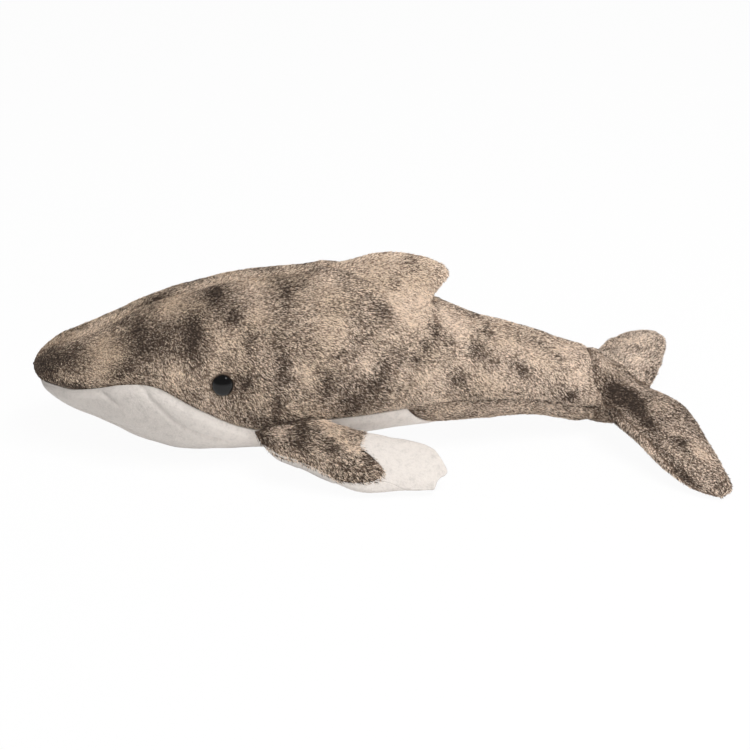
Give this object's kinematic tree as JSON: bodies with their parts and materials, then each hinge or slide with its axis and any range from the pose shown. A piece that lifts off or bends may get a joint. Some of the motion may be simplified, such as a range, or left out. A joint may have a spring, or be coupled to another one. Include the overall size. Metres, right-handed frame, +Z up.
{
  "type": "plush whale",
  "caption": "Stuffed whale in mottled pile with a white throat and belly, a dorsal fin, two hinged flippers, folding tail flukes and domed eyes.",
  "frame": {"origin": "middle of the box round the toy, at the height of the surface that it rests on", "axes": "+X from the nose to the tail, +Y toward the toy's right flipper, +Z up through the dorsal fin"},
  "size_m": [0.3918, 0.188, 0.1114],
  "materials": {
    "mottled_pile": "long mottled cream and brown-grey pile",
    "white_pile": "short white pile",
    "limb_white": "short white pile",
    "filling": "polyester fibre filling",
    "eye_black": "polished black",
    "washer": "moulded"
  },
  "bodies": {
    "trunk": {"side_panel_left": "mottled_pile", "side_panel_right": "mottled_pile", "throat_belly_panel": "white_pile", "tail_gusset": "mottled_pile", "body_filling": "filling", "eye_left": "eye_black", "eye_right": "eye_black", "eye_washer_left": "washer", "eye_washer_right": "washer"},
    "flipper_left": {"flipper_left_top": "mottled_pile", "flipper_left_tip": "limb_white", "flipper_left_underside": "limb_white", "flipper_left_filling": "filling"},
    "flipper_right": {"flipper_right_top": "mottled_pile", "flipper_right_tip": "limb_white", "flipper_right_underside": "limb_white", "flipper_right_filling": "filling"},
    "flukes": {"fluke_top_left": "mottled_pile", "fluke_top_right": "mottled_pile", "fluke_underside": "mottled_pile", "fluke_filling": "filling"}
  },
  "joints": [
    {"name": "flipper_left_flap", "type": "hinge", "parent": "trunk", "child": "flipper_left", "pos_m": [-0.06587, -0.05303, 0.02701], "axis": [-0.9925, -0.0763, -0.0951], "range_deg": [-20, 60]},
    {"name": "flipper_right_flap", "type": "hinge", "parent": "trunk", "child": "flipper_right", "pos_m": [-0.06587, 0.05303, 0.02701], "axis": [0.9925, -0.0763, 0.0951], "range_deg": [-20, 60]},
    {"name": "tail_fold", "type": "hinge", "parent": "trunk", "child": "flukes", "pos_m": [0.12782, 0, 0.02794], "axis": [0, -1, 0], "range_deg": [-25, 25], "stiffness_Nm_per_rad": 0.15}
  ]
}
